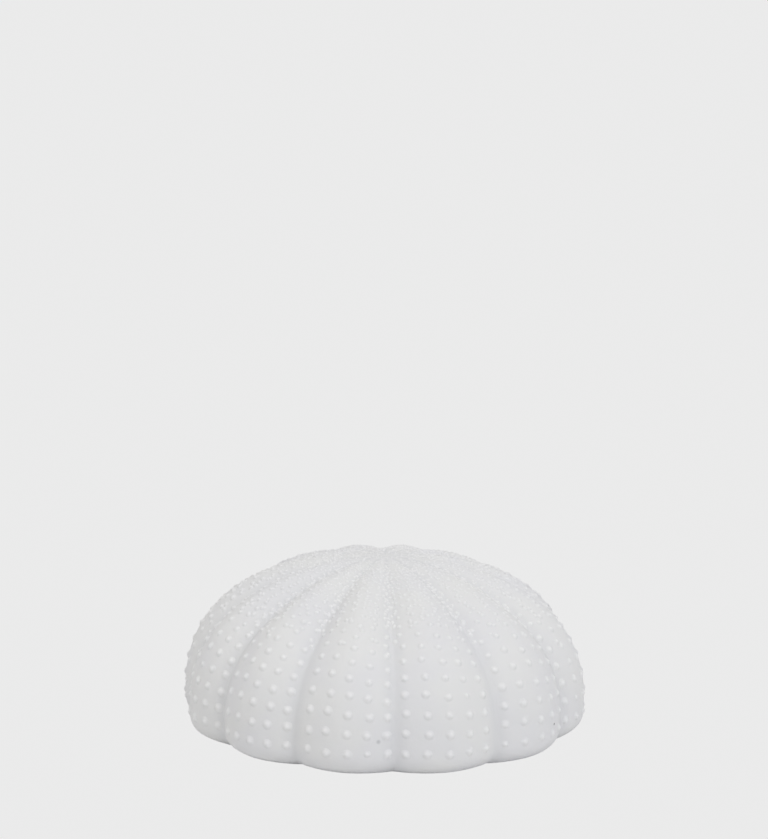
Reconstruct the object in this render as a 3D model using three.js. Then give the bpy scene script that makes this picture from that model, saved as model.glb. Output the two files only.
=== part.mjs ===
/**
 * Sea urchin shell: the hollow, lobed dome of a regular sea urchin, in white unglazed porcelain.
 *
 * It is one piece. Twelve rounded lobes meet at a crown on top, with a groove between each two.
 * The wall turns in under the widest part to a flat foot ring, and goes on, rising gently, to the
 * rolled lip of a round mouth in the middle of the underside, which opens into the hollow.
 *
 * Millimetres, +Z up. The origin is on the table, under the middle of the shell, and -Y is the
 * front. An azimuth is measured round +Z from the front, positive towards +X.
 */
import * as THREE from "three";

// Dome, from the crown down to the widest part
const CREST_RADIUS = 60; // at the widest part, on the crest of a lobe
const HEIGHT = 52.5;
const WIDEST_HEIGHT = 10.4; // of the widest part above the table
const DOME_RADIAL_POWER = 2.32; // 2 is an ellipse, and more is squarer in the shoulder
const DOME_HEIGHT_POWER = 2.24;
const CROWN_SET_BACK = 1.2; // of the crown, behind the middle of the shell
const CROWN_FADE_POWER = 1.6;

// Skirt, from the widest part down to the flat foot ring
const FOOT_RADIUS = 45.5; // outer edge of the foot ring, on the crest of a lobe
const FOOT_INNER_RADIUS = 39;
const SKIRT_RADIAL_POWER = 1.78;
const SKIRT_HEIGHT_POWER = 3.85;

// Wall, underside and mouth
const WALL = 4;
const MOUTH_EDGE_RADIUS = 20; // where the underside turns into the lip
const MOUTH_RISE = 5; // of that edge above the table

// Lobes and the grooves between them
const LOBE_COUNT = 12;
const FIRST_GROOVE_AZIMUTH = -55; // degrees
const GROOVE_SHIFTS = [0, -0.5, 0, 1.5, 2, 4.5, -3, -6, 0, 3, -1, 3]; // degrees off an even spacing
const GROOVE_BENDS = [2, 3, -2, -4, 0, 0, 0, 0, 0, 0, -1, -2]; // degrees gained towards the crown
const GROOVE_DEPTH_SHOULDER = 5; // halfway down the dome, where the grooves are deepest
const GROOVE_DEPTH_EDGE = 3.5; // from the widest part down
const GROOVE_SHOULDER = 0.5; // share of the dome's line at which they are deepest
const GROOVE_SHARPNESS = 1.73; // 1 is a plain V, and more rounds the lobes

// Facets
const LOBE_STEPS = [0, 0.08, 0.2, 0.35, 0.5, 0.65, 0.8, 0.92]; // across a lobe, finer at its grooves
const OUTER_STEPS = { dome: 14, skirt: 6, underside: 3 };
const INNER_STEPS = { dome: 9, skirt: 4, underside: 2 };
const LIP_STEPS = 4;

const PORCELAIN = new THREE.MeshStandardMaterial({ color: "#e8eaec", roughness: 0.8, metalness: 0 });

/** A line in the shell's half plane: x is the distance from the axis and y is the height. */
class ProfileCurve extends THREE.Curve {
  constructor(pointAt) {
    super();
    this.pointAt = pointAt;
  }

  getPoint(t) {
    return this.pointAt(t);
  }

  /** The unit vector that points out of the shell's wall. */
  getNormal(t) {
    const tangent = this.getTangent(t);
    return new THREE.Vector2(-tangent.y, tangent.x);
  }
}

const dome = new ProfileCurve((t) => {
  const angle = (t * Math.PI) / 2;
  const out = Math.sin(angle) ** (2 / DOME_RADIAL_POWER);
  const up = t < 1 ? Math.cos(angle) ** (2 / DOME_HEIGHT_POWER) : 0;
  return new THREE.Vector2(CREST_RADIUS * out, WIDEST_HEIGHT + (HEIGHT - WIDEST_HEIGHT) * up);
});

const skirt = new ProfileCurve((t) => {
  const angle = (t * t * Math.PI) / 2;
  const out = t < 1 ? Math.cos(angle) ** (2 / SKIRT_RADIAL_POWER) : 0;
  const down = Math.sin(angle) ** (2 / SKIRT_HEIGHT_POWER);
  return new THREE.Vector2(FOOT_RADIUS + (CREST_RADIUS - FOOT_RADIUS) * out, WIDEST_HEIGHT * (1 - down));
});

const underside = new ProfileCurve((t) => {
  const radius = THREE.MathUtils.lerp(FOOT_INNER_RADIUS, MOUTH_EDGE_RADIUS, t);
  return new THREE.Vector2(radius, MOUTH_RISE * t * t);
});

/** The depth of the grooves at a share t of the dome's line. */
function domeGrooveDepth(t) {
  if (t < GROOVE_SHOULDER) {
    return GROOVE_DEPTH_SHOULDER * THREE.MathUtils.smoothstep(t, 0, GROOVE_SHOULDER);
  }
  const down = THREE.MathUtils.smoothstep(t, GROOVE_SHOULDER, 1);
  return THREE.MathUtils.lerp(GROOVE_DEPTH_SHOULDER, GROOVE_DEPTH_EDGE, down);
}

/**
 * The rings of one side of the wall, from the crown to the edge of the mouth. `inset` is how far
 * the side lies inside the outer surface. Each ring has its point on the crest of a lobe, the
 * vector from there to the bottom of a groove, and how near it is to the crown, from 0 to 1.
 */
function wallRings(steps, inset) {
  const rings = [];
  const addRing = (curve, t, grooveDirection, grooveDepth, crownShare) => {
    const point = curve.getPoint(t).addScaledVector(curve.getNormal(t), -inset);
    rings.push({ point, groove: grooveDirection.multiplyScalar(-grooveDepth), crownShare });
  };
  for (let i = 0; i <= steps.dome; i += 1) {
    const t = i / steps.dome;
    addRing(dome, t, dome.getNormal(t), domeGrooveDepth(t), 1 - t);
  }
  for (let i = 1; i <= steps.skirt; i += 1) {
    addRing(skirt, i / steps.skirt, new THREE.Vector2(1, 0), GROOVE_DEPTH_EDGE, 0);
  }
  for (let i = 0; i <= steps.underside; i += 1) {
    addRing(underside, i / steps.underside, new THREE.Vector2(), 0, 0);
  }
  rings[0].point.x = 0;
  return rings;
}

/** The rings of the rolled lip, from the underside round to the floor of the hollow. */
function lipRings() {
  const out = underside.getNormal(1);
  const inwards = underside.getTangent(1);
  const centre = underside.getPoint(1).addScaledVector(out, -WALL / 2);
  const rings = [];
  for (let i = 1; i < LIP_STEPS; i += 1) {
    const angle = (i / LIP_STEPS) * Math.PI;
    const point = centre.clone();
    point.addScaledVector(out, (Math.cos(angle) * WALL) / 2);
    point.addScaledVector(inwards, (Math.sin(angle) * WALL) / 2);
    rings.push({ point, groove: new THREE.Vector2(), crownShare: 0 });
  }
  return rings;
}

/** The azimuth of a groove, in degrees. The groove after the last is the first one, a turn later. */
function grooveAzimuth(index, crownShare) {
  const turns = Math.floor(index / LOBE_COUNT);
  const groove = index % LOBE_COUNT;
  const even = FIRST_GROOVE_AZIMUTH + (groove * 360) / LOBE_COUNT;
  return turns * 360 + even + GROOVE_SHIFTS[groove] + GROOVE_BENDS[groove] * crownShare ** 2;
}

/** The corners of one ring, lobe by lobe round the shell. */
function ringCorners({ point, groove, crownShare }) {
  const corners = [];
  const setBack = CROWN_SET_BACK * crownShare ** CROWN_FADE_POWER;
  for (let lobe = 0; lobe < LOBE_COUNT; lobe += 1) {
    const from = grooveAzimuth(lobe, crownShare);
    const to = grooveAzimuth(lobe + 1, crownShare);
    for (const step of LOBE_STEPS) {
      const azimuth = THREE.MathUtils.degToRad(THREE.MathUtils.lerp(from, to, step));
      const nearness = Math.abs(2 * step - 1) ** GROOVE_SHARPNESS;
      const radius = point.x + groove.x * nearness;
      const height = point.y + groove.y * nearness;
      corners.push(radius * Math.sin(azimuth), setBack - radius * Math.cos(azimuth), height);
    }
  }
  return corners;
}

/** The closed mesh through all the rings, the first and last of which are single points. */
function skinRings(rings) {
  const aroundCount = LOBE_COUNT * LOBE_STEPS.length;
  const [top, ...rest] = rings;
  const bottom = rest.pop();
  const positions = rest.flatMap(ringCorners);
  const topIndex = positions.length / 3;
  positions.push(...ringCorners(top).slice(0, 3), ...ringCorners(bottom).slice(0, 3));
  const triangles = [];
  for (let i = 0; i < aroundCount; i += 1) {
    const next = (i + 1) % aroundCount;
    triangles.push(topIndex, i, next);
    for (let ring = 0; ring < rest.length - 1; ring += 1) {
      const here = ring * aroundCount;
      const below = here + aroundCount;
      triangles.push(here + i, below + i, below + next, here + i, below + next, here + next);
    }
    const last = (rest.length - 1) * aroundCount;
    triangles.push(last + i, topIndex + 1, last + next);
  }
  const geometry = new THREE.BufferGeometry();
  geometry.setAttribute("position", new THREE.Float32BufferAttribute(positions, 3));
  geometry.setIndex(triangles);
  return geometry;
}

/** The shell, with the middle of its outline over the origin. */
function makeShell() {
  const innerRings = wallRings(INNER_STEPS, WALL).reverse();
  const geometry = skinRings([...wallRings(OUTER_STEPS, 0), ...lipRings(), ...innerRings]);
  geometry.computeBoundingBox();
  const middle = geometry.boundingBox.getCenter(new THREE.Vector3());
  geometry.translate(-middle.x, -middle.y, 0);
  geometry.computeVertexNormals();
  const mesh = new THREE.Mesh(geometry, PORCELAIN);
  mesh.name = "shell";
  return mesh;
}

const group = new THREE.Group();
group.add(makeShell());

export default group;
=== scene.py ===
"""Sea urchin shell in white bisque porcelain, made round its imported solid.

The shell is one piece of ware: a low, hollow dome of rounded lobes with a groove between each two,
rows of round tubercles that grow smaller and closer towards the crown, a smooth band above a flat
foot ring, and the rolled lip of a round mouth underneath.

Shape sizes are in millimetres and the finished meshes in metres, in the frame of the solid: +Z up,
-Y the front, the origin on the table. An azimuth is measured from the front, positive towards +X.
"""

import logging
import math
import random
from dataclasses import dataclass
from enum import Enum
from typing import Callable, Optional, Union

import bpy
import numpy as np
from mathutils import Matrix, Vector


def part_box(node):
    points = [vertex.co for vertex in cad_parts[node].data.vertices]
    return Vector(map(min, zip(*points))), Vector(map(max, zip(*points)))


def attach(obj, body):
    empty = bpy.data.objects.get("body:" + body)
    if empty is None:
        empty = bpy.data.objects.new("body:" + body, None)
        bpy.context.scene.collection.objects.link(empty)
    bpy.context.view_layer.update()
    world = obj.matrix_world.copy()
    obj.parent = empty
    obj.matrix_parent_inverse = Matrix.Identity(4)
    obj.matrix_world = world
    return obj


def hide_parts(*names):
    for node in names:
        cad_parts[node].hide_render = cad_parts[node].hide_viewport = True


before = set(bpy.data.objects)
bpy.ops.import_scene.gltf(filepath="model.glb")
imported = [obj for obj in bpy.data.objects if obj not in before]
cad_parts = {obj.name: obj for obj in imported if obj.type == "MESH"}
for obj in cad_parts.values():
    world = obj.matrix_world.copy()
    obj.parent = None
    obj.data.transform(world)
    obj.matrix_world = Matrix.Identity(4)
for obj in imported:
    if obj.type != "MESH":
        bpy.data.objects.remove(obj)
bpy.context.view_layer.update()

LOG = logging.getLogger("sea_urchin_shell")
MM = 0.001
SHELL_NODE = "shell"
BODY = "root"

Value = Union[float, int, bool, str, tuple, bpy.types.NodeSocket, bpy.types.ID]
Numbers = Union[float, np.ndarray]
Line = Callable[[np.ndarray], tuple[np.ndarray, np.ndarray]]


class Side(Enum):
    """The two sides of the shell's wall."""

    OUTER = "outer"
    INNER = "inner"


class Trait(Enum):
    """Numbers that the meshes' points carry for the Geometry Nodes trees and the material."""

    GROOVE = "groove"  # 0 on the crest of a lobe, 1 at the bottom of a groove
    PRESS = "press"  # from the crest's level to the bottom of a full groove, in metres
    RELIEF = "relief"  # 0 where the surface is kept true, 1 where it may be uneven
    WIDTH = "width"  # of a tubercle, in metres
    TIP = "tip"  # 0 on the wall, 1 on the top of a tubercle


def linear(hex_colour: str) -> tuple[float, float, float, float]:
    """Turns an sRGB hex colour into the linear colour that a shader takes.

    Args:
        hex_colour: Six hex digits after a hash, such as "#e8e9ec".

    Returns:
        Linear red, green and blue, and an alpha of 1.
    """
    channels = [int(hex_colour[i : i + 2], 16) / 255 for i in (1, 3, 5)]
    red, green, blue = [c / 12.92 if c <= 0.04045 else ((c + 0.055) / 1.055) ** 2.4 for c in channels]
    return red, green, blue, 1.0


def add_node(
    tree: bpy.types.NodeTree,
    kind: str,
    inputs: Optional[dict[Union[str, int], Value]] = None,
    **settings: Value,
) -> bpy.types.Node:
    """Adds a node with its settings and links.

    Args:
        tree: The material's or Geometry Nodes tree.
        kind: The node's type, such as "ShaderNodeMath".
        inputs: For each input, by name or number, another node's output socket or a fixed value.
        **settings: The node's own properties, such as operation="MULTIPLY".

    Returns:
        The new node.
    """
    node = tree.nodes.new(kind)
    for name, value in settings.items():
        setattr(node, name, value)
    for name, value in (inputs or {}).items():
        if isinstance(value, bpy.types.NodeSocket):
            tree.links.new(value, node.inputs[name])
        else:
            node.inputs[name].default_value = value
    return node


def new_object(
    name: str, points: np.ndarray, faces: list[tuple[int, ...]], traits: dict[Trait, np.ndarray]
) -> bpy.types.Object:
    """Makes a smooth-shaded mesh object at the origin.

    Args:
        name: The object's and the mesh's name.
        points: One row of x, y and z in metres for each point.
        faces: The point numbers of each face, counter-clockwise from outside. Empty for loose points.
        traits: A number, or a row of three, to store on each point.

    Returns:
        The new object, linked to the scene.
    """
    mesh = bpy.data.meshes.new(name)
    mesh.from_pydata(points.tolist(), [], faces)
    mesh.polygons.foreach_set("use_smooth", np.ones(len(mesh.polygons), bool))
    for trait, values in traits.items():
        kind, member = ("FLOAT_VECTOR", "vector") if values.ndim == 2 else ("FLOAT", "value")
        attribute = mesh.attributes.new(trait.value, kind, "POINT")
        attribute.data.foreach_set(member, values.astype(np.float32).ravel())
    thing = bpy.data.objects.new(name, mesh)
    bpy.context.scene.collection.objects.link(thing)
    return thing


class GrowthTree:
    """A Geometry Nodes tree with named inputs, which is run on an object and leaves a plain mesh."""

    def __init__(self, name: str, inputs: dict[str, str]) -> None:
        """Makes the empty tree.

        Args:
            name: The tree's name.
            inputs: For each named input, its socket type.
        """
        self.tree = bpy.data.node_groups.new(name, "GeometryNodeTree")
        interface = self.tree.interface
        interface.new_socket("Geometry", in_out="INPUT", socket_type="NodeSocketGeometry")
        for label, socket_type in inputs.items():
            interface.new_socket(label, in_out="INPUT", socket_type=socket_type)
        interface.new_socket("Geometry", in_out="OUTPUT", socket_type="NodeSocketGeometry")
        self.source = add_node(self.tree, "NodeGroupInput").outputs

    def trait(self, trait: Trait, data_type: str = "FLOAT") -> bpy.types.NodeSocket:
        """The field of a trait that the points carry."""
        inputs = {"Name": trait.value}
        node = add_node(self.tree, "GeometryNodeInputNamedAttribute", inputs, data_type=data_type)
        return node.outputs[0]

    def end(self, geometry: bpy.types.NodeSocket) -> None:
        """Ends the tree in Realize Instances, smooth shading and Set Material."""
        realized = add_node(self.tree, "GeometryNodeRealizeInstances", {"Geometry": geometry}).outputs[0]
        smooth = add_node(self.tree, "GeometryNodeSetShadeSmooth", {"Geometry": realized}).outputs[0]
        dressing = {"Geometry": smooth, "Material": self.source["Material"]}
        dressed = add_node(self.tree, "GeometryNodeSetMaterial", dressing).outputs[0]
        add_node(self.tree, "NodeGroupOutput", {"Geometry": dressed})

    def run(self, thing: bpy.types.Object, values: dict[str, Value]) -> None:
        """Replaces an object's mesh with what the tree makes of it.

        Args:
            thing: The object.
            values: The value of each named input.
        """
        modifier = thing.modifiers.new(self.tree.name, "NODES")
        modifier.node_group = self.tree
        for item in self.tree.interface.items_tree:
            if item.in_out == "INPUT" and item.name in values:
                modifier[item.identifier] = values[item.name]
        depsgraph = bpy.context.evaluated_depsgraph_get()
        grown = bpy.data.meshes.new_from_object(
            thing.evaluated_get(depsgraph), preserve_all_data_layers=True, depsgraph=depsgraph
        )
        thing.modifiers.remove(modifier)
        grown.name = thing.name
        thing.data = grown


def smooth_step(low: float, high: float, value: Numbers) -> Numbers:
    """An even S-shaped rise from 0 at `low` to 1 at `high`."""
    share = np.clip((value - low) / (high - low), 0, 1)
    return share * share * (3 - 2 * share)


@dataclass(frozen=True)
class Rings:
    """Rings of one side of the wall, in order from the crown to the mouth, in millimetres.

    Each ring has its radius and height on the crest of a lobe, how far nearer to the axis and how
    far lower the bottom of a groove lies there, its nearness to the crown from 0 to 1, and its
    relief, from 0 where the surface is kept true to 1 where it may be uneven.
    """

    radius: np.ndarray
    height: np.ndarray
    groove_in: np.ndarray
    groove_down: np.ndarray
    crown_share: np.ndarray
    relief: np.ndarray

    def measures(self) -> tuple[np.ndarray, ...]:
        """The six measures, in the order of the fields."""
        return self.radius, self.height, self.groove_in, self.groove_down, self.crown_share, self.relief

    def joined(self, other: "Rings") -> "Rings":
        """These rings followed by the other ones."""
        return Rings(*[np.concatenate(pair) for pair in zip(self.measures(), other.measures())])

    def reversed(self) -> "Rings":
        """The same rings in the opposite order."""
        return Rings(*[measure[::-1] for measure in self.measures()])

    def arc(self) -> np.ndarray:
        """The length of the wall's line from the first ring to each ring."""
        return np.concatenate([[0.0], np.cumsum(np.hypot(np.diff(self.radius), np.diff(self.height)))])

    def at(self, arc: np.ndarray) -> "Rings":
        """The rings at the given lengths along the wall's line."""
        own_arc = self.arc()
        return Rings(*[np.interp(arc, own_arc, measure) for measure in self.measures()])


@dataclass(frozen=True)
class ShellForm:
    """The rule that the shell's wall follows, in millimetres and degrees."""

    crest_radius: float = 60.0
    height: float = 52.2  # a little under the solid's, so that the tubercles end at its height
    widest_height: float = 10.4
    dome_radial_power: float = 2.32  # 2 is an ellipse, and more is squarer in the shoulder
    dome_height_power: float = 2.24
    crown_set_back: float = 1.2
    crown_fade_power: float = 1.6
    foot_radius: float = 45.5
    foot_inner_radius: float = 39.0
    skirt_radial_power: float = 1.78
    skirt_height_power: float = 3.85
    wall: float = 4.0
    mouth_edge_radius: float = 20.0
    mouth_rise: float = 5.0
    lobe_count: int = 12
    first_groove: float = -55.0
    groove_shifts: tuple[float, ...] = (0, -1.7, -1.6, 0.5, 2, 4.5, -3, -6, 0, 3, -1, 3)
    groove_bends: tuple[float, ...] = (2, 3, -2, -4, 0, 0, 0, 0, 0, 0, -1, -2)
    groove_depth_shoulder: float = 4.1
    groove_depth_edge: float = 3.5
    groove_shoulder: float = 0.5  # share of the dome's line at which the grooves are deepest
    groove_sharpness: float = 1.73  # 1 is a plain V, and more rounds the lobes
    groove_rounding: float = 1.3  # mm, of a groove's bottom
    crease_share: float = 0.12  # of a groove's depth, which is in a narrow crease along its bottom
    crease_width: float = 1.8  # mm from the bottom to where the crease has mostly gone
    outer_steps: tuple[int, int, int] = (130, 26, 12)  # on the dome, the skirt and the underside
    inner_steps: tuple[int, int, int] = (44, 12, 8)
    lip_steps: int = 9
    outline_steps: int = 96  # across each lobe, to measure the outline
    least_half_lobe: float = 1.0  # mm, so that the groove's shape stays sound at the crown
    nudge: float = 1e-4  # share of a line over which its direction is measured

    def dome_line(self, share: np.ndarray) -> tuple[np.ndarray, np.ndarray]:
        """Radius and height of the dome, from the crown at 0 to the widest part at 1."""
        angle = share * math.pi / 2
        out = np.sin(angle) ** (2 / self.dome_radial_power)
        up = np.maximum(np.cos(angle), 0) ** (2 / self.dome_height_power)
        return self.crest_radius * out, self.widest_height + (self.height - self.widest_height) * up

    def skirt_line(self, share: np.ndarray) -> tuple[np.ndarray, np.ndarray]:
        """Radius and height of the skirt, from the widest part at 0 to the foot ring at 1."""
        angle = share**2 * math.pi / 2
        out = np.maximum(np.cos(angle), 0) ** (2 / self.skirt_radial_power)
        down = np.sin(angle) ** (2 / self.skirt_height_power)
        radius = self.foot_radius + (self.crest_radius - self.foot_radius) * out
        return radius, self.widest_height * (1 - down)

    def underside_line(self, share: np.ndarray) -> tuple[np.ndarray, np.ndarray]:
        """Radius and height of the underside, from the foot ring at 0 to the mouth's lip at 1."""
        radius = self.foot_inner_radius + (self.mouth_edge_radius - self.foot_inner_radius) * share
        return radius, self.mouth_rise * share**2

    def dome_groove_depth(self, share: np.ndarray) -> np.ndarray:
        """The depth of the grooves along the dome's line."""
        rising = self.groove_depth_shoulder * smooth_step(0, self.groove_shoulder, share)
        change = self.groove_depth_edge - self.groove_depth_shoulder
        eased = self.groove_depth_shoulder + change * smooth_step(self.groove_shoulder, 1, share)
        return np.where(share < self.groove_shoulder, rising, eased)

    def outward(self, line: Line, share: np.ndarray) -> tuple[np.ndarray, np.ndarray]:
        """The radial and upward parts of the unit vector out of the wall.

        Args:
            line: The dome's, the skirt's or the underside's line.
            share: Places along it, from 0 to 1.

        Returns:
            The two parts at each place.
        """
        radius_before, height_before = line(np.maximum(share - self.nudge, 0))
        radius_after, height_after = line(np.minimum(share + self.nudge, 1))
        run, rise = radius_after - radius_before, height_after - height_before
        length = np.hypot(run, rise)
        return -rise / length, run / length

    def side_rings(self, side: Side) -> Rings:
        """The rings of one side of the wall, from the crown to the edge of the mouth.

        Args:
            side: The outer surface, or the wall of the hollow.

        Returns:
            The rings.
        """
        steps = self.outer_steps if side is Side.OUTER else self.inner_steps
        inset = 0.0 if side is Side.OUTER else self.wall
        unevenness = 1.0 if side is Side.OUTER else 0.0

        share = np.linspace(0, 1, steps[0] + 1)
        out, up = self.outward(self.dome_line, share)
        depth = self.dome_groove_depth(share)
        radius, height = self.dome_line(share)
        level = np.full_like(share, unevenness)
        dome = Rings(radius - inset * out, height - inset * up, out * depth, up * depth, 1 - share, level)
        dome.radius[0] = 0.0

        share = np.linspace(0, 1, steps[1] + 1)[1:]
        out, up = self.outward(self.skirt_line, share)
        radius, height = self.skirt_line(share)
        depth = np.full_like(share, self.groove_depth_edge)
        flat = np.zeros_like(share)
        level = unevenness * (1 - share)
        skirt = Rings(radius - inset * out, height - inset * up, depth, flat, flat, level)

        share = np.linspace(0, 1, steps[2] + 1)
        out, up = self.outward(self.underside_line, share)
        radius, height = self.underside_line(share)
        flat = np.zeros_like(share)
        underside = Rings(radius - inset * out, height - inset * up, flat, flat, flat, flat)
        return dome.joined(skirt).joined(underside)

    def lip_rings(self) -> Rings:
        """The rings of the rolled lip, from the underside round to the floor of the hollow."""
        edge = np.array([1.0])
        out = np.array(self.outward(self.underside_line, edge))[:, 0]
        inwards = np.array([out[1], -out[0]])
        half = self.wall / 2
        centre = np.array(self.underside_line(edge))[:, 0] - half * out
        angle = np.linspace(0, math.pi, self.lip_steps + 2)[1:-1]
        turn = out[:, None] * np.cos(angle) + inwards[:, None] * np.sin(angle)
        points = centre[:, None] + half * turn
        flat = np.zeros_like(angle)
        return Rings(points[0], points[1], flat, flat, flat, flat)

    def azimuths(self, lobe: np.ndarray, share: np.ndarray, crown_share: np.ndarray) -> np.ndarray:
        """Azimuths at a share of the way across a lobe.

        Args:
            lobe: Lobe numbers. Lobe 0 lies between the first two grooves.
            share: From 0 at the lobe's first groove to 1 at its second.
            crown_share: Nearness to the crown, from 0 to 1.

        Returns:
            The azimuths, in radians.
        """
        shifts, bends = np.array(self.groove_shifts), np.array(self.groove_bends)
        ends = []
        for groove in (lobe, lobe + 1):
            own = groove % self.lobe_count
            even = self.first_groove + groove * 360 / self.lobe_count
            ends.append(even + shifts[own] + bends[own] * crown_share**2)
        return np.radians(ends[0] + (ends[1] - ends[0]) * share)

    def nearness(self, rings: Rings, share: np.ndarray) -> np.ndarray:
        """How deep into a groove a place lies, from 0 on the crest to 1.

        Args:
            rings: The ring of each place.
            share: How far across its lobe each place is.

        Returns:
            The share of the groove's depth at each place.
        """
        half_lobe = np.maximum(math.pi * rings.radius / self.lobe_count, self.least_half_lobe)
        aside = half_lobe * (1 - np.abs(2 * share - 1))
        rounded = np.hypot(aside, self.groove_rounding) - self.groove_rounding
        full = np.hypot(half_lobe, self.groove_rounding) - self.groove_rounding
        valley = (1 - rounded / full) ** self.groove_sharpness
        crease = np.exp(-((aside / self.crease_width) ** 2))
        creased = self.crease_share * (1 - rings.crown_share)
        return (1 - creased) * valley + creased * crease

    def set_back(self, rings: Rings) -> np.ndarray:
        """How far behind the middle of the shell each ring is centred."""
        return self.crown_set_back * rings.crown_share**self.crown_fade_power

    def crest_places(self, rings: Rings, lobe: np.ndarray, share: np.ndarray) -> np.ndarray:
        """Points on the wall before its grooves are pressed in.

        Args:
            rings: The ring of each point.
            lobe: The lobe of each point.
            share: How far across its lobe each point is.

        Returns:
            Rows of x, y and z in millimetres about the form's own axis.
        """
        azimuth = self.azimuths(lobe, share, rings.crown_share)
        y = self.set_back(rings) - rings.radius * np.cos(azimuth)
        return np.stack([rings.radius * np.sin(azimuth), y, rings.height], axis=-1)

    def presses(self, rings: Rings, lobe: np.ndarray, share: np.ndarray) -> np.ndarray:
        """From each of those points to the bottom of a full groove, in millimetres."""
        azimuth = self.azimuths(lobe, share, rings.crown_share)
        x, y = -rings.groove_in * np.sin(azimuth), rings.groove_in * np.cos(azimuth)
        return np.stack([x, y, -rings.groove_down], axis=-1)

    def pressed_places(self, rings: Rings, lobe: np.ndarray, share: np.ndarray) -> np.ndarray:
        """The same points on the grooved wall, in millimetres."""
        depth = self.nearness(rings, share)[:, None]
        return self.crest_places(rings, lobe, share) + depth * self.presses(rings, lobe, share)

    def to_frame(self, places: np.ndarray) -> np.ndarray:
        """Moves places so that the form's outline is centred on the solid, and turns them to metres."""
        lobe = np.repeat(np.arange(self.lobe_count), self.outline_steps)
        share = np.tile(np.linspace(0, 1, self.outline_steps, endpoint=False), self.lobe_count)
        widest = self.side_rings(Side.OUTER).at(np.full(len(lobe), self.widest_arc()))
        outline = self.pressed_places(widest, lobe, share)[:, :2]
        middle = (outline.min(axis=0) + outline.max(axis=0)) / 2
        low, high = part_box(SHELL_NODE)
        seat = np.array([(low.x + high.x) / 2, (low.y + high.y) / 2, low.z])
        return (places - [*middle, 0]) * MM + seat

    def widest_arc(self) -> float:
        """The length of the outer line from the crown to the widest ring."""
        return float(self.side_rings(Side.OUTER).arc()[self.outer_steps[0]])


@dataclass(frozen=True)
class Fleck:
    """A small dark mark on the outside of the wall."""

    lobe: int
    share: float  # of the way across the lobe
    above_widest: float  # mm up the wall's line from the widest ring
    radius: float  # mm, to where it has faded
    core: float  # mm, the radius that is fully dark
    strength: float
    colour: str

    def place(self, form: ShellForm) -> tuple[float, ...]:
        """Its middle, in metres in the frame."""
        ring = form.side_rings(Side.OUTER).at(np.array([form.widest_arc() - self.above_widest]))
        where = form.pressed_places(ring, np.array([self.lobe]), np.array([self.share]))
        return tuple(form.to_frame(where)[0].tolist())


@dataclass(frozen=True)
class Film:
    """A thin colour over the porcelain's body, where a field goes from one value to another."""

    field: bpy.types.NodeSocket
    absent: float  # the value at which there is none of it
    full: float  # the value at which it has its full share
    share: float
    colour: str


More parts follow.
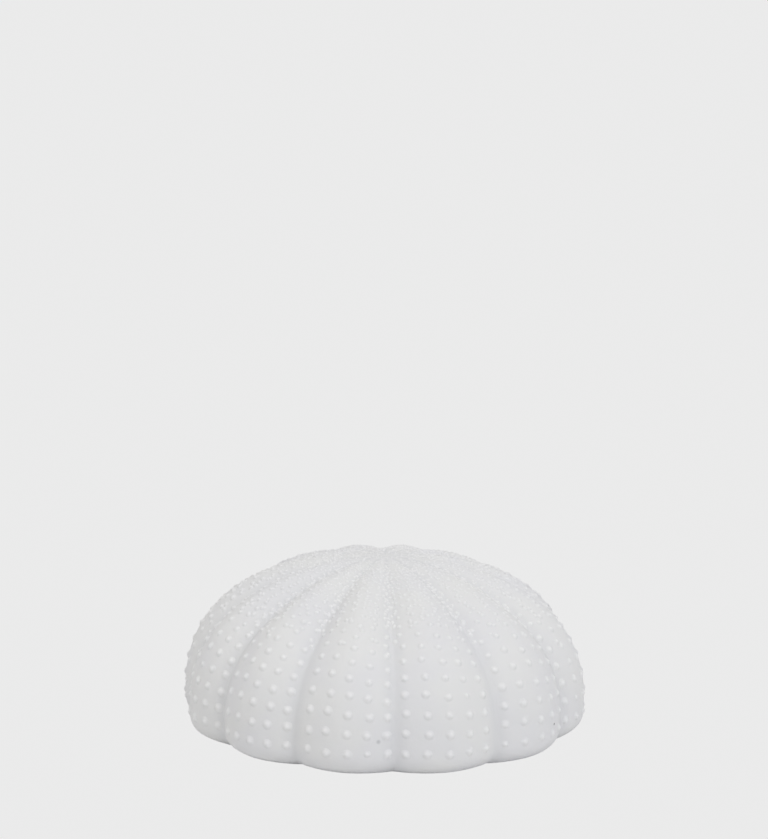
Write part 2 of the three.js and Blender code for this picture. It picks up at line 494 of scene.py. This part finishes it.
@dataclass(frozen=True)
class BisquePorcelain:
    """White porcelain, biscuit-fired and left unglazed.

    It gives the eye a dead matt, neutral white with no clear reflection, a fine tooth that breaks
    up the light, soft clouds of a slightly cooler and greyer white, painted shade down in the
    grooves with a little dust, and tubercles whose tops are smoother than the ground and painted
    lighter, partly as rubbed wear and partly as a painted highlight.
    """

    name: str = "bisque_porcelain"
    body: str = "#e1e1e1"
    cloud: str = "#dfdfe1"
    # Painted shade: a darker grey laid into the grooves where shade falls, with a little dust
    groove_shade_and_dust: str = "#d0d1d4"
    # Painted highlight on the tubercles' tops, partly real wear that rubs them lighter
    rubbed_and_highlight: str = "#f4f4f5"
    cloud_noise: tuple[float, float] = (0.35, 0.65)  # where a cloud begins and where it is full
    cloud_share: float = 1.0
    # How much painted shade, with a little dust, lies in the grooves, and from how far down
    groove_shade_and_dust_share: float = 0.36
    groove_shade_and_dust_from: float = 0.5  # share of the way down into a groove
    # How much painted highlight, partly rubbed wear, lies on the tubercles' tops, and from how high
    rubbed_and_highlight_share: float = 0.4
    rubbed_and_highlight_from: float = 0.1  # share of a tubercle's height
    noise_detail: float = 3.0
    cloud_size: float = 17.0  # mm across one cloud
    wave_size: float = 3.2  # mm across the low waves that a plaster mould leaves
    wave_height: float = 0.09  # mm
    tooth_size: float = 0.55  # mm, coarser than the real 0.1 mm grain, which is too fine to show
    tooth_height: float = 0.03  # mm
    matt: float = 0.8
    rubbed_roughness: float = 0.62
    ior: float = 1.5

    def build(self, form: ShellForm, flecks: list[Fleck]) -> bpy.types.Material:
        """Makes the material.

        Args:
            form: The shell's form, on which the flecks lie.
            flecks: The dark marks.

        Returns:
            The material.
        """
        material = bpy.data.materials.new(self.name)
        material.use_nodes = True
        tree = material.node_tree
        tree.nodes.clear()
        here = add_node(tree, "ShaderNodeTexCoord").outputs["Object"]
        groove = add_node(tree, "ShaderNodeAttribute", attribute_name=Trait.GROOVE.value).outputs["Fac"]
        tip = add_node(tree, "ShaderNodeAttribute", attribute_name=Trait.TIP.value).outputs["Fac"]
        noises = []
        for size in (self.cloud_size, self.wave_size, self.tooth_size):
            grain = {"Vector": here, "Scale": 1 / (size * MM), "Detail": self.noise_detail}
            noises.append(add_node(tree, "ShaderNodeTexNoise", grain).outputs[0])
        clouds, waves, tooth = noises

        films = [
            Film(clouds, *self.cloud_noise, self.cloud_share, self.cloud),
            # Painted shade down in the grooves, with a little dust
            Film(groove, self.groove_shade_and_dust_from, 1.0, self.groove_shade_and_dust_share, self.groove_shade_and_dust),
            # Painted highlight on the tubercles' tops, partly wear that rubs them clean
            Film(tip, self.rubbed_and_highlight_from, 1.0, self.rubbed_and_highlight_share, self.rubbed_and_highlight),
        ]
        for fleck in flecks:
            middle = {0: here, 1: fleck.place(form)}
            distance = add_node(tree, "ShaderNodeVectorMath", middle, operation="DISTANCE")
            reach = (fleck.radius * MM, fleck.core * MM)
            films.append(Film(distance.outputs["Value"], *reach, fleck.strength, fleck.colour))
        colour = self.colour(tree, films)

        sheen = {"Value": tip, "To Min": self.matt, "To Max": self.rubbed_roughness}
        roughness = add_node(tree, "ShaderNodeMapRange", sheen).outputs[0]
        normal = add_node(
            tree, "ShaderNodeBump", {"Distance": self.wave_height * MM, "Height": waves}
        ).outputs[0]
        fine = {"Distance": self.tooth_height * MM, "Height": tooth, "Normal": normal}
        normal = add_node(tree, "ShaderNodeBump", fine).outputs[0]
        finish = {"Base Color": colour, "Roughness": roughness, "Normal": normal, "IOR": self.ior}
        shader = add_node(tree, "ShaderNodeBsdfPrincipled", finish).outputs[0]
        add_node(tree, "ShaderNodeOutputMaterial", {"Surface": shader})
        return material

    def colour(self, tree: bpy.types.NodeTree, films: list[Film]) -> bpy.types.NodeSocket:
        """Lays the films over the body, one after another.

        Args:
            tree: The material's tree.
            films: The films, from the lowest up.

        Returns:
            The colour they give together.
        """
        factor, under, over, result = 0, 6, 7, 2  # the Mix node's sockets for colours
        colour: Value = linear(self.body)
        for film in films:
            limits = {
                "Value": film.field,
                "From Min": film.absent,
                "From Max": film.full,
                "To Max": film.share,
            }
            share = add_node(tree, "ShaderNodeMapRange", limits, interpolation_type="SMOOTHSTEP")
            inputs = {factor: share.outputs[0], under: colour, over: linear(film.colour)}
            colour = add_node(tree, "ShaderNodeMix", inputs, data_type="RGBA").outputs[result]
        return colour


@dataclass(frozen=True)
class ShellWall:
    """The wall of the shell: dome, skirt, foot ring, underside, lip and the lining of the hollow."""

    form: ShellForm
    name: str = "shell_wall"
    steps_per_lobe: int = 24
    groove_depth: float = 1.0  # share of the form's own depth
    crowding: float = 0.45  # how much the steps across a lobe crowd towards its grooves
    unevenness: float = 0.16  # mm that the outside wanders in or out
    unevenness_size: float = 11.0  # mm across one swell
    unevenness_detail: float = 2.0
    seed: float = 3.0

    def build(self, porcelain: bpy.types.Material) -> bpy.types.Object:
        """Makes the smooth wall, then presses its grooves in.

        Args:
            porcelain: The finish.

        Returns:
            The finished wall.
        """
        wall = self.blank()
        sizes = {
            "Groove depth": self.groove_depth,
            "Unevenness": self.unevenness * MM,
            "Unevenness size": self.unevenness_size * MM,
            "Seed": self.seed,
            "Material": porcelain,
        }
        self.groove_press().run(wall, sizes)
        return wall

    def blank(self) -> bpy.types.Object:
        """The wall before its grooves are pressed in."""
        rings = self.form.side_rings(Side.OUTER).joined(self.form.lip_rings())
        rings = rings.joined(self.form.side_rings(Side.INNER).reversed())
        around = self.form.lobe_count * self.steps_per_lobe
        even = np.linspace(-1, 1, self.steps_per_lobe, endpoint=False)
        crowded = (1 - self.crowding) * even + self.crowding * np.sin(even * math.pi / 2)
        ring_count = len(rings.radius)
        between = np.repeat(np.arange(1, ring_count - 1), around)
        ring_numbers = np.concatenate([[0], between, [ring_count - 1]])
        shares = np.tile((1 + crowded) / 2, self.form.lobe_count * (ring_count - 2))
        lobes = np.tile(np.repeat(np.arange(self.form.lobe_count), self.steps_per_lobe), ring_count - 2)
        share, lobe = np.concatenate([[0.5], shares, [0.5]]), np.concatenate([[0], lobes, [0]])
        ring = Rings(*[measure[ring_numbers] for measure in rings.measures()])
        grooved = np.hypot(ring.groove_in, ring.groove_down) > 0
        traits = {
            Trait.GROOVE: self.form.nearness(ring, share) * grooved,
            Trait.PRESS: self.form.presses(ring, lobe, share) * MM,
            Trait.RELIEF: ring.relief,
        }
        points = self.form.to_frame(self.form.crest_places(ring, lobe, share))
        return new_object(self.name, points, self.faces(ring_count - 2, around), traits)

    @staticmethod
    def faces(ring_count: int, around: int) -> list[tuple[int, ...]]:
        """Faces between rings of points, closed by a first and a last point.

        Args:
            ring_count: The rings between the two end points.
            around: The points in each ring.

        Returns:
            The point numbers of each face, counter-clockwise from outside.
        """
        last = 1 + ring_count * around
        lowest = last - around
        faces: list[tuple[int, ...]] = []
        for here in range(around):
            following = (here + 1) % around
            faces.append((0, 1 + here, 1 + following))
            for above in range(1, lowest, around):
                below = above + around
                faces.append((above + here, below + here, below + following, above + following))
            faces.append((lowest + here, last, lowest + following))
        return faces

    def groove_press(self) -> GrowthTree:
        """The tree that presses the grooves in and leaves the outside slightly uneven."""
        labels = ("Groove depth", "Unevenness", "Unevenness size", "Seed")
        press = GrowthTree(
            "groove press", {**dict.fromkeys(labels, "NodeSocketFloat"), "Material": "NodeSocketMaterial"}
        )
        tree, source = press.tree, press.source
        nearness = press.trait(Trait.GROOVE)
        depth = add_node(
            tree, "ShaderNodeMath", {0: nearness, 1: source["Groove depth"]}, operation="MULTIPLY"
        ).outputs[0]
        full = press.trait(Trait.PRESS, "FLOAT_VECTOR")
        pushed = add_node(
            tree, "ShaderNodeVectorMath", {0: full, "Scale": depth}, operation="SCALE"
        ).outputs[0]
        grooved = add_node(
            tree, "GeometryNodeSetPosition", {"Geometry": source["Geometry"], "Offset": pushed}
        ).outputs[0]
        scale = add_node(
            tree, "ShaderNodeMath", {0: 1.0, 1: source["Unevenness size"]}, operation="DIVIDE"
        ).outputs[0]
        noise = add_node(
            tree,
            "ShaderNodeTexNoise",
            {"W": source["Seed"], "Scale": scale, "Detail": self.unevenness_detail},
            noise_dimensions="4D",
        ).outputs[0]
        swell = add_node(
            tree, "ShaderNodeMapRange", {"Value": noise, "To Min": -1.0, "To Max": 1.0}, clamp=False
        ).outputs[0]
        relief = press.trait(Trait.RELIEF)
        reach = add_node(
            tree, "ShaderNodeMath", {0: relief, 1: source["Unevenness"]}, operation="MULTIPLY"
        ).outputs[0]
        height = add_node(tree, "ShaderNodeMath", {0: swell, 1: reach}, operation="MULTIPLY").outputs[0]
        out = add_node(tree, "GeometryNodeInputNormal").outputs[0]
        offset = add_node(
            tree, "ShaderNodeVectorMath", {0: out, "Scale": height}, operation="SCALE"
        ).outputs[0]
        uneven = add_node(tree, "GeometryNodeSetPosition", {"Geometry": grooved, "Offset": offset})
        press.end(uneven.outputs[0])
        return press


@dataclass(frozen=True)
class Column:
    """One of the columns of tubercles that run up each lobe."""

    share: float  # of the way across the lobe
    top_radius: float  # mm from the axis to where the column stops
    pitch_factor: float  # over the spacing that the rows have otherwise


@dataclass(frozen=True)
class TubercleRows:
    """The tubercles: round bosses in columns up each lobe, smaller and closer towards the crown."""

    form: ShellForm
    name: str = "tubercles"
    columns: tuple[Column, ...] = (
        Column(0.13, 7.0, 1.10),
        Column(0.32, 13.0, 1.08),
        Column(0.51, 2.5, 1.02),
        Column(0.695, 13.0, 1.0),
        Column(0.88, 7.0, 0.98),
    )
    # Share of a lobe by which each lobe's columns stand off to its second groove
    leans: tuple[float, ...] = (0.05, 0.05, -0.03, -0.05, -0.06, -0.04, 0.0, 0.03, 0.0, 0.04, 0.06, 0.05)
    below_widest: float = 1.9  # mm down the wall's line from the widest ring to the lowest row
    pitch_crown: float = 0.72  # rows' spacing over the columns' spacing at the crown
    pitch_gain: float = 0.15  # what that gains by the widest ring
    least_pitch: float = 1.25  # mm
    width_crown: float = 0.9  # mm across a tubercle at the crown
    width_widest: float = 2.6  # mm across one at the widest ring
    wander: float = 0.15  # mm that a tubercle stands out of its place at the widest ring
    wander_crown: float = 0.5  # mm at the crown
    size_spread: float = 0.06  # share of its width
    stunted_share: float = 0.015  # of the tubercles, which are smaller
    stunted_size: float = 0.75
    dense_radius: float = 90.0  # mm from the axis, within which none is left out
    sparse_radius: float = 99.0  # mm from the axis, beyond which all are left out
    front_bareness: float = 0.0  # mm by which both come nearer to the axis at the front
    sides: int = 12
    # Half width and height, as shares of the width, from the sunk hem up to below the top
    outline: tuple[tuple[float, float], ...] = (
        (0.6, -0.02),
        (0.5, 0.018),
        (0.38, 0.086),
        (0.25, 0.17),
        (0.12, 0.226),
    )
    top_height: float = 0.245
    seed: int = 11

    @classmethod
    def granules(cls, form: ShellForm) -> "TubercleRows":
        """The lesser tubercles, which fill the upper dome between the columns.

        Args:
            form: The shell's form.

        Returns:
            Their columns, which thin out towards the widest part.
        """
        return cls(
            form,
            name="granules",
            columns=(
                Column(0.04, 14.0, 0.70),
                Column(0.225, 17.0, 0.64),
                Column(0.415, 12.0, 0.67),
                Column(0.605, 15.0, 0.62),
                Column(0.79, 13.0, 0.66),
                Column(0.96, 16.0, 0.69),
            ),
            leans=(0.0,) * form.lobe_count,
            below_widest=-0.8,
            least_pitch=1.5,
            width_crown=0.85,
            width_widest=2.2,
            wander=0.5,
            wander_crown=0.55,
            size_spread=0.16,
            dense_radius=44.0,
            sparse_radius=58.0,
            front_bareness=8.0,
            sides=8,
            outline=((0.6, -0.02), (0.48, 0.032), (0.32, 0.125), (0.15, 0.21)),
            top_height=0.24,
            seed=23,
        )

    def build(self, wall: bpy.types.Object, porcelain: bpy.types.Material) -> bpy.types.Object:
        """Sets a tubercle on the wall at each place.

        Args:
            wall: The finished wall.
            porcelain: The finish.

        Returns:
            All the tubercles as one piece.
        """
        places, widths = self.seeds()
        rows = new_object(self.name, places, [], {Trait.WIDTH: widths * MM})
        boss = self.boss()
        sizes = {
            "Wall": wall,
            "Tubercle": boss,
            "Size spread": self.size_spread,
            "Seed": self.seed,
            "Material": porcelain,
        }
        self.boss_setter().run(rows, sizes)
        mesh = boss.data
        bpy.data.objects.remove(boss)
        bpy.data.meshes.remove(mesh)
        return rows

    def seeds(self) -> tuple[np.ndarray, np.ndarray]:
        """Where the tubercles stand.

        Returns:
            Rows of x, y and z in metres, and the width of each tubercle in millimetres.
        """
        dice = random.Random(self.seed)
        rings = self.form.side_rings(Side.OUTER)
        whole_arc = self.form.widest_arc()
        spacing_share = 2 * math.pi / (self.form.lobe_count * len(self.columns))
        arcs: list[float] = []
        lobes: list[int] = []
        shares: list[float] = []
        widths: list[float] = []
        for lobe in range(self.form.lobe_count):
            middle = self.form.azimuths(np.array([lobe]), np.array([0.5]), np.array([0.0]))[0]
            bared = self.front_bareness * max(math.cos(middle), 0)
            for column in self.columns:
                arc = whole_arc + self.below_widest
                radius = self.form.crest_radius
                while radius > column.top_radius:
                    spacing = spacing_share * radius
                    loose = self.wander + (self.wander_crown - self.wander) * max(1 - arc / whole_arc, 0)
                    aside = dice.gauss(0, loose) / (spacing * len(self.columns))
                    stunted = dice.random() < self.stunted_share
                    grown = (radius / self.form.crest_radius) ** 2
                    width = self.width_crown + (self.width_widest - self.width_crown) * grown
                    along = arc + dice.gauss(0, loose)
                    absence = smooth_step(self.dense_radius, self.sparse_radius, radius + bared)
                    if dice.random() >= absence:
                        arcs.append(along)
                        lobes.append(lobe)
                        shares.append(column.share + self.leans[lobe] + aside)
                        widths.append(width * (self.stunted_size if stunted else 1.0))
                    pitch = spacing * (self.pitch_crown + self.pitch_gain * grown)
                    arc -= max(pitch * column.pitch_factor, self.least_pitch)
                    radius = float(rings.at(np.array([arc])).radius[0])
        places = self.form.pressed_places(rings.at(np.array(arcs)), np.array(lobes), np.array(shares))
        return self.form.to_frame(places), np.array(widths)

    def boss(self) -> bpy.types.Object:
        """One tubercle, a metre wide and pointing up."""
        turns = np.arange(self.sides) * 2 * math.pi / self.sides
        circle = np.stack([np.cos(turns), np.sin(turns)], axis=-1)
        points = [(0.0, 0.0, self.top_height)]
        for half_width, height in reversed(self.outline):
            points += [(x, y, height) for x, y in (circle * half_width).tolist()]
        faces = [(0, 1 + i, 1 + (i + 1) % self.sides) for i in range(self.sides)]
        for ring in range(len(self.outline) - 1):
            above, below = 1 + ring * self.sides, 1 + (ring + 1) * self.sides
            for i in range(self.sides):
                following = (i + 1) % self.sides
                faces.append((above + i, below + i, below + following, above + following))
        hem = len(points) - self.sides
        faces.append(tuple(hem + i for i in reversed(range(self.sides))))
        height = np.array(points)[:, 2] / self.top_height
        boss = new_object("tubercle", np.array(points), faces, {Trait.TIP: np.clip(height, 0, 1)})
        for edge in boss.data.edges:  # keeps the hidden underside out of the shading of the flanks
            edge.use_edge_sharp = min(edge.vertices) >= hem
        return boss

    def boss_setter(self) -> GrowthTree:
        """The tree that stands a tubercle square on the wall at each seed point."""
        setter = GrowthTree(
            "boss setter",
            {
                "Wall": "NodeSocketObject",
                "Tubercle": "NodeSocketObject",
                "Size spread": "NodeSocketFloat",
                "Seed": "NodeSocketInt",
                "Material": "NodeSocketMaterial",
            },
        )
        tree, source = setter.tree, setter.source
        wall, boss = [
            add_node(tree, "GeometryNodeObjectInfo", {"Object": source[label]}).outputs["Geometry"]
            for label in ("Wall", "Tubercle")
        ]
        here = add_node(tree, "GeometryNodeInputPosition").outputs[0]
        normal = add_node(tree, "GeometryNodeInputNormal").outputs[0]
        nearest, vectors = "GeometryNodeSampleNearestSurface", "FLOAT_VECTOR"
        foot, out = [
            add_node(tree, nearest, {"Mesh": wall, "Value": field}, data_type=vectors).outputs[0]
            for field in (here, normal)
        ]
        placing = {"Geometry": source["Geometry"], "Position": foot}
        seated = add_node(tree, "GeometryNodeSetPosition", placing)
        upright = add_node(
            tree, "FunctionNodeAlignRotationToVector", {"Vector": out}, axis="Z"
        ).outputs[0]
        spread = source["Size spread"]
        least = add_node(tree, "ShaderNodeMath", {0: 1.0, 1: spread}, operation="SUBTRACT").outputs[0]
        most = add_node(tree, "ShaderNodeMath", {0: 1.0, 1: spread}, operation="ADD").outputs[0]
        low, high, chosen = 2, 3, 1  # the Random Value node's sockets for single numbers
        limits = {low: least, high: most, "Seed": source["Seed"]}
        varied = add_node(tree, "FunctionNodeRandomValue", limits, data_type="FLOAT").outputs[chosen]
        size = add_node(
            tree, "ShaderNodeMath", {0: setter.trait(Trait.WIDTH), 1: varied}, operation="MULTIPLY"
        ).outputs[0]
        standing = {"Points": seated.outputs[0], "Instance": boss, "Rotation": upright, "Scale": size}
        setter.end(add_node(tree, "GeometryNodeInstanceOnPoints", standing).outputs[0])
        return setter


@dataclass(frozen=True)
class Viewpoint:
    """A long lens in front of the shell, a little above it and looking down at it."""

    distance: float = 1.1  # m from the middle of the shell's height
    aim_height: float = 0.025  # m
    elevation: float = 15.033  # degrees
    pitch: float = 11.525  # degrees below the horizon
    yaw: float = -0.075
    roll: float = 1.024
    lens: float = 157.9  # mm, on a 36 mm sensor

    def build(self) -> None:
        """Makes the camera and gives it to the scene."""
        camera = bpy.data.objects.new("camera", bpy.data.cameras.new("camera"))
        bpy.context.scene.collection.objects.link(camera)
        camera.data.lens = self.lens
        rise = math.radians(self.elevation)
        back, up = self.distance * math.cos(rise), self.distance * math.sin(rise)
        turned = Matrix.Rotation(math.radians(-self.yaw), 4, "Z")
        tilted = Matrix.Rotation(math.radians(90 - self.pitch), 4, "X")
        rolled = Matrix.Rotation(math.radians(self.roll), 4, "Z")
        placed = Matrix.Translation((0, -back, self.aim_height + up))
        camera.matrix_world = placed @ turned @ tilted @ rolled
        bpy.context.scene.camera = camera


@dataclass(frozen=True)
class Lamp:
    """A broad soft lamp, far enough away to light the whole shell alike."""

    name: str
    azimuth: float  # degrees from the front, towards +X
    elevation: float
    strength: float  # W/m2 square on to it
    spread: float  # degrees across it, seen from the shell
    tint: str

    def build(self) -> None:
        """Hangs the lamp."""
        lamp = bpy.data.objects.new(self.name, bpy.data.lights.new(self.name, "SUN"))
        bpy.context.scene.collection.objects.link(lamp)
        lamp.data.energy = self.strength
        lamp.data.angle = math.radians(self.spread)
        lamp.data.color = linear(self.tint)[:3]
        swung = Matrix.Rotation(math.radians(self.azimuth), 4, "Z")
        tipped = Matrix.Rotation(math.radians(90 - self.elevation), 4, "X")
        lamp.matrix_world = swung @ tipped


@dataclass(frozen=True)
class Studio:
    """A pale light tent with two broad lamps.

    Matt paper under the shell throws light back up at it. What the camera sees is a screen of one
    even tone, which is lit from behind, so that hardly any shadow shows on it. It lies on the
    paper and sweeps up far away.
    """

    lamps: tuple[Lamp, ...] = (
        Lamp("front_lamp", 38.0, 44.0, 0.88, 40.0, "#f9fbff"),
        Lamp("side_lamp", -80.0, 72.0, 0.64, 50.0, "#fffcf6"),
    )
    tent: str = "#c6c6c6"
    paper: str = "#f1f1f1"
    paper_size: float = 12.0  # m
    screen: str = "#f0f0f0"
    back_light: float = 0.9  # share of the screen's tone that comes through it
    screen_flat: float = 3.0  # m from the middle to where it starts to sweep up
    screen_sweep: float = 4.0  # m, the radius of the sweep
    screen_steps: int = 16

    def build(self) -> list[bpy.types.Object]:
        """Lights the scene and lays the floor.

        Returns:
            The paper and the screen.
        """
        scene = bpy.context.scene
        scene.view_settings.view_transform = "Standard"
        world = bpy.data.worlds.new("light tent")
        scene.world = world
        world.use_nodes = True
        world.node_tree.nodes.clear()
        tent = add_node(world.node_tree, "ShaderNodeBackground", {"Color": linear(self.tent)}).outputs[0]
        add_node(world.node_tree, "ShaderNodeOutputWorld", {"Surface": tent})
        for lamp in self.lamps:
            lamp.build()

        half = self.paper_size / 2
        corners = np.array([(-half, -half, 0), (half, -half, 0), (half, half, 0), (-half, half, 0)])
        paper = new_object("floor_paper", corners, [(0, 1, 2, 3)], {})
        paper.data.materials.append(self.sheet("matt_paper", self.paper, 0.0))
        paper.visible_camera = False

        screen = self.sweep()
        screen.data.materials.append(self.sheet("backlit_screen", self.screen, self.back_light))
        screen.visible_diffuse = False
        screen.visible_glossy = False
        screen.visible_shadow = False
        return [paper, screen]

    def sweep(self) -> bpy.types.Object:
        """The screen: a flat disc whose rim sweeps up all round."""
        rise = np.linspace(0, math.pi / 2, self.screen_steps)
        radius = self.screen_flat + self.screen_sweep * np.sin(rise)
        height = self.screen_sweep * (1 - np.cos(rise))
        around = 4 * self.screen_steps
        turns = np.arange(around) * 2 * math.pi / around
        circle = np.stack([np.cos(turns), np.sin(turns)], axis=-1)
        rings = [np.column_stack([circle * r, np.full(around, z)]) for r, z in zip(radius, height)]
        faces = [tuple(range(around))]
        for ring in range(self.screen_steps - 1):
            inner, outer = ring * around, (ring + 1) * around
            for here in range(around):
                following = (here + 1) % around
                faces.append((inner + here, outer + here, outer + following, inner + following))
        return new_object("floor_screen", np.concatenate(rings), faces, {})

    @staticmethod
    def sheet(name: str, tone: str, back_light: float) -> bpy.types.Material:
        """A plain matt sheet.

        Args:
            name: The material's name.
            tone: Its colour.
            back_light: The share of its tone that comes through it.

        Returns:
            The material.
        """
        material = bpy.data.materials.new(name)
        material.use_nodes = True
        tree = material.node_tree
        tree.nodes.clear()
        colour = linear(tone)
        front = tuple(channel * (1 - back_light) for channel in colour[:3]) + (1.0,)
        look = {
            "Base Color": front,
            "Roughness": 1.0,
            "Specular IOR Level": 0.0,
            "Emission Color": colour,
            "Emission Strength": back_light,
        }
        shader = add_node(tree, "ShaderNodeBsdfPrincipled", look).outputs[0]
        add_node(tree, "ShaderNodeOutputMaterial", {"Surface": shader})
        return material


def main() -> None:
    """Builds the shell and its studio."""
    logging.basicConfig(level=logging.INFO, format="%(message)s")
    form = ShellForm()
    flecks = [
        Fleck(1, 0.849, 1.85, 0.95, 0.1, 0.36, "#7c7f85"),
        Fleck(3, 0.684, 0.5, 0.5, 0.2, 0.9, "#2e2c2a"),
    ]
    porcelain = BisquePorcelain().build(form, flecks)
    wall = ShellWall(form).build(porcelain)
    LOG.info("%s: %d faces", wall.name, len(wall.data.polygons))
    pieces = [wall]
    for bosses in (TubercleRows(form), TubercleRows.granules(form)):
        pieces.append(bosses.build(wall, porcelain))
        LOG.info("%s: %d faces", pieces[-1].name, len(pieces[-1].data.polygons))
    for piece in pieces:
        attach(piece, BODY)
    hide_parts(SHELL_NODE)
    Studio().build()
    Viewpoint().build()


if __name__ == "__main__":
    main()
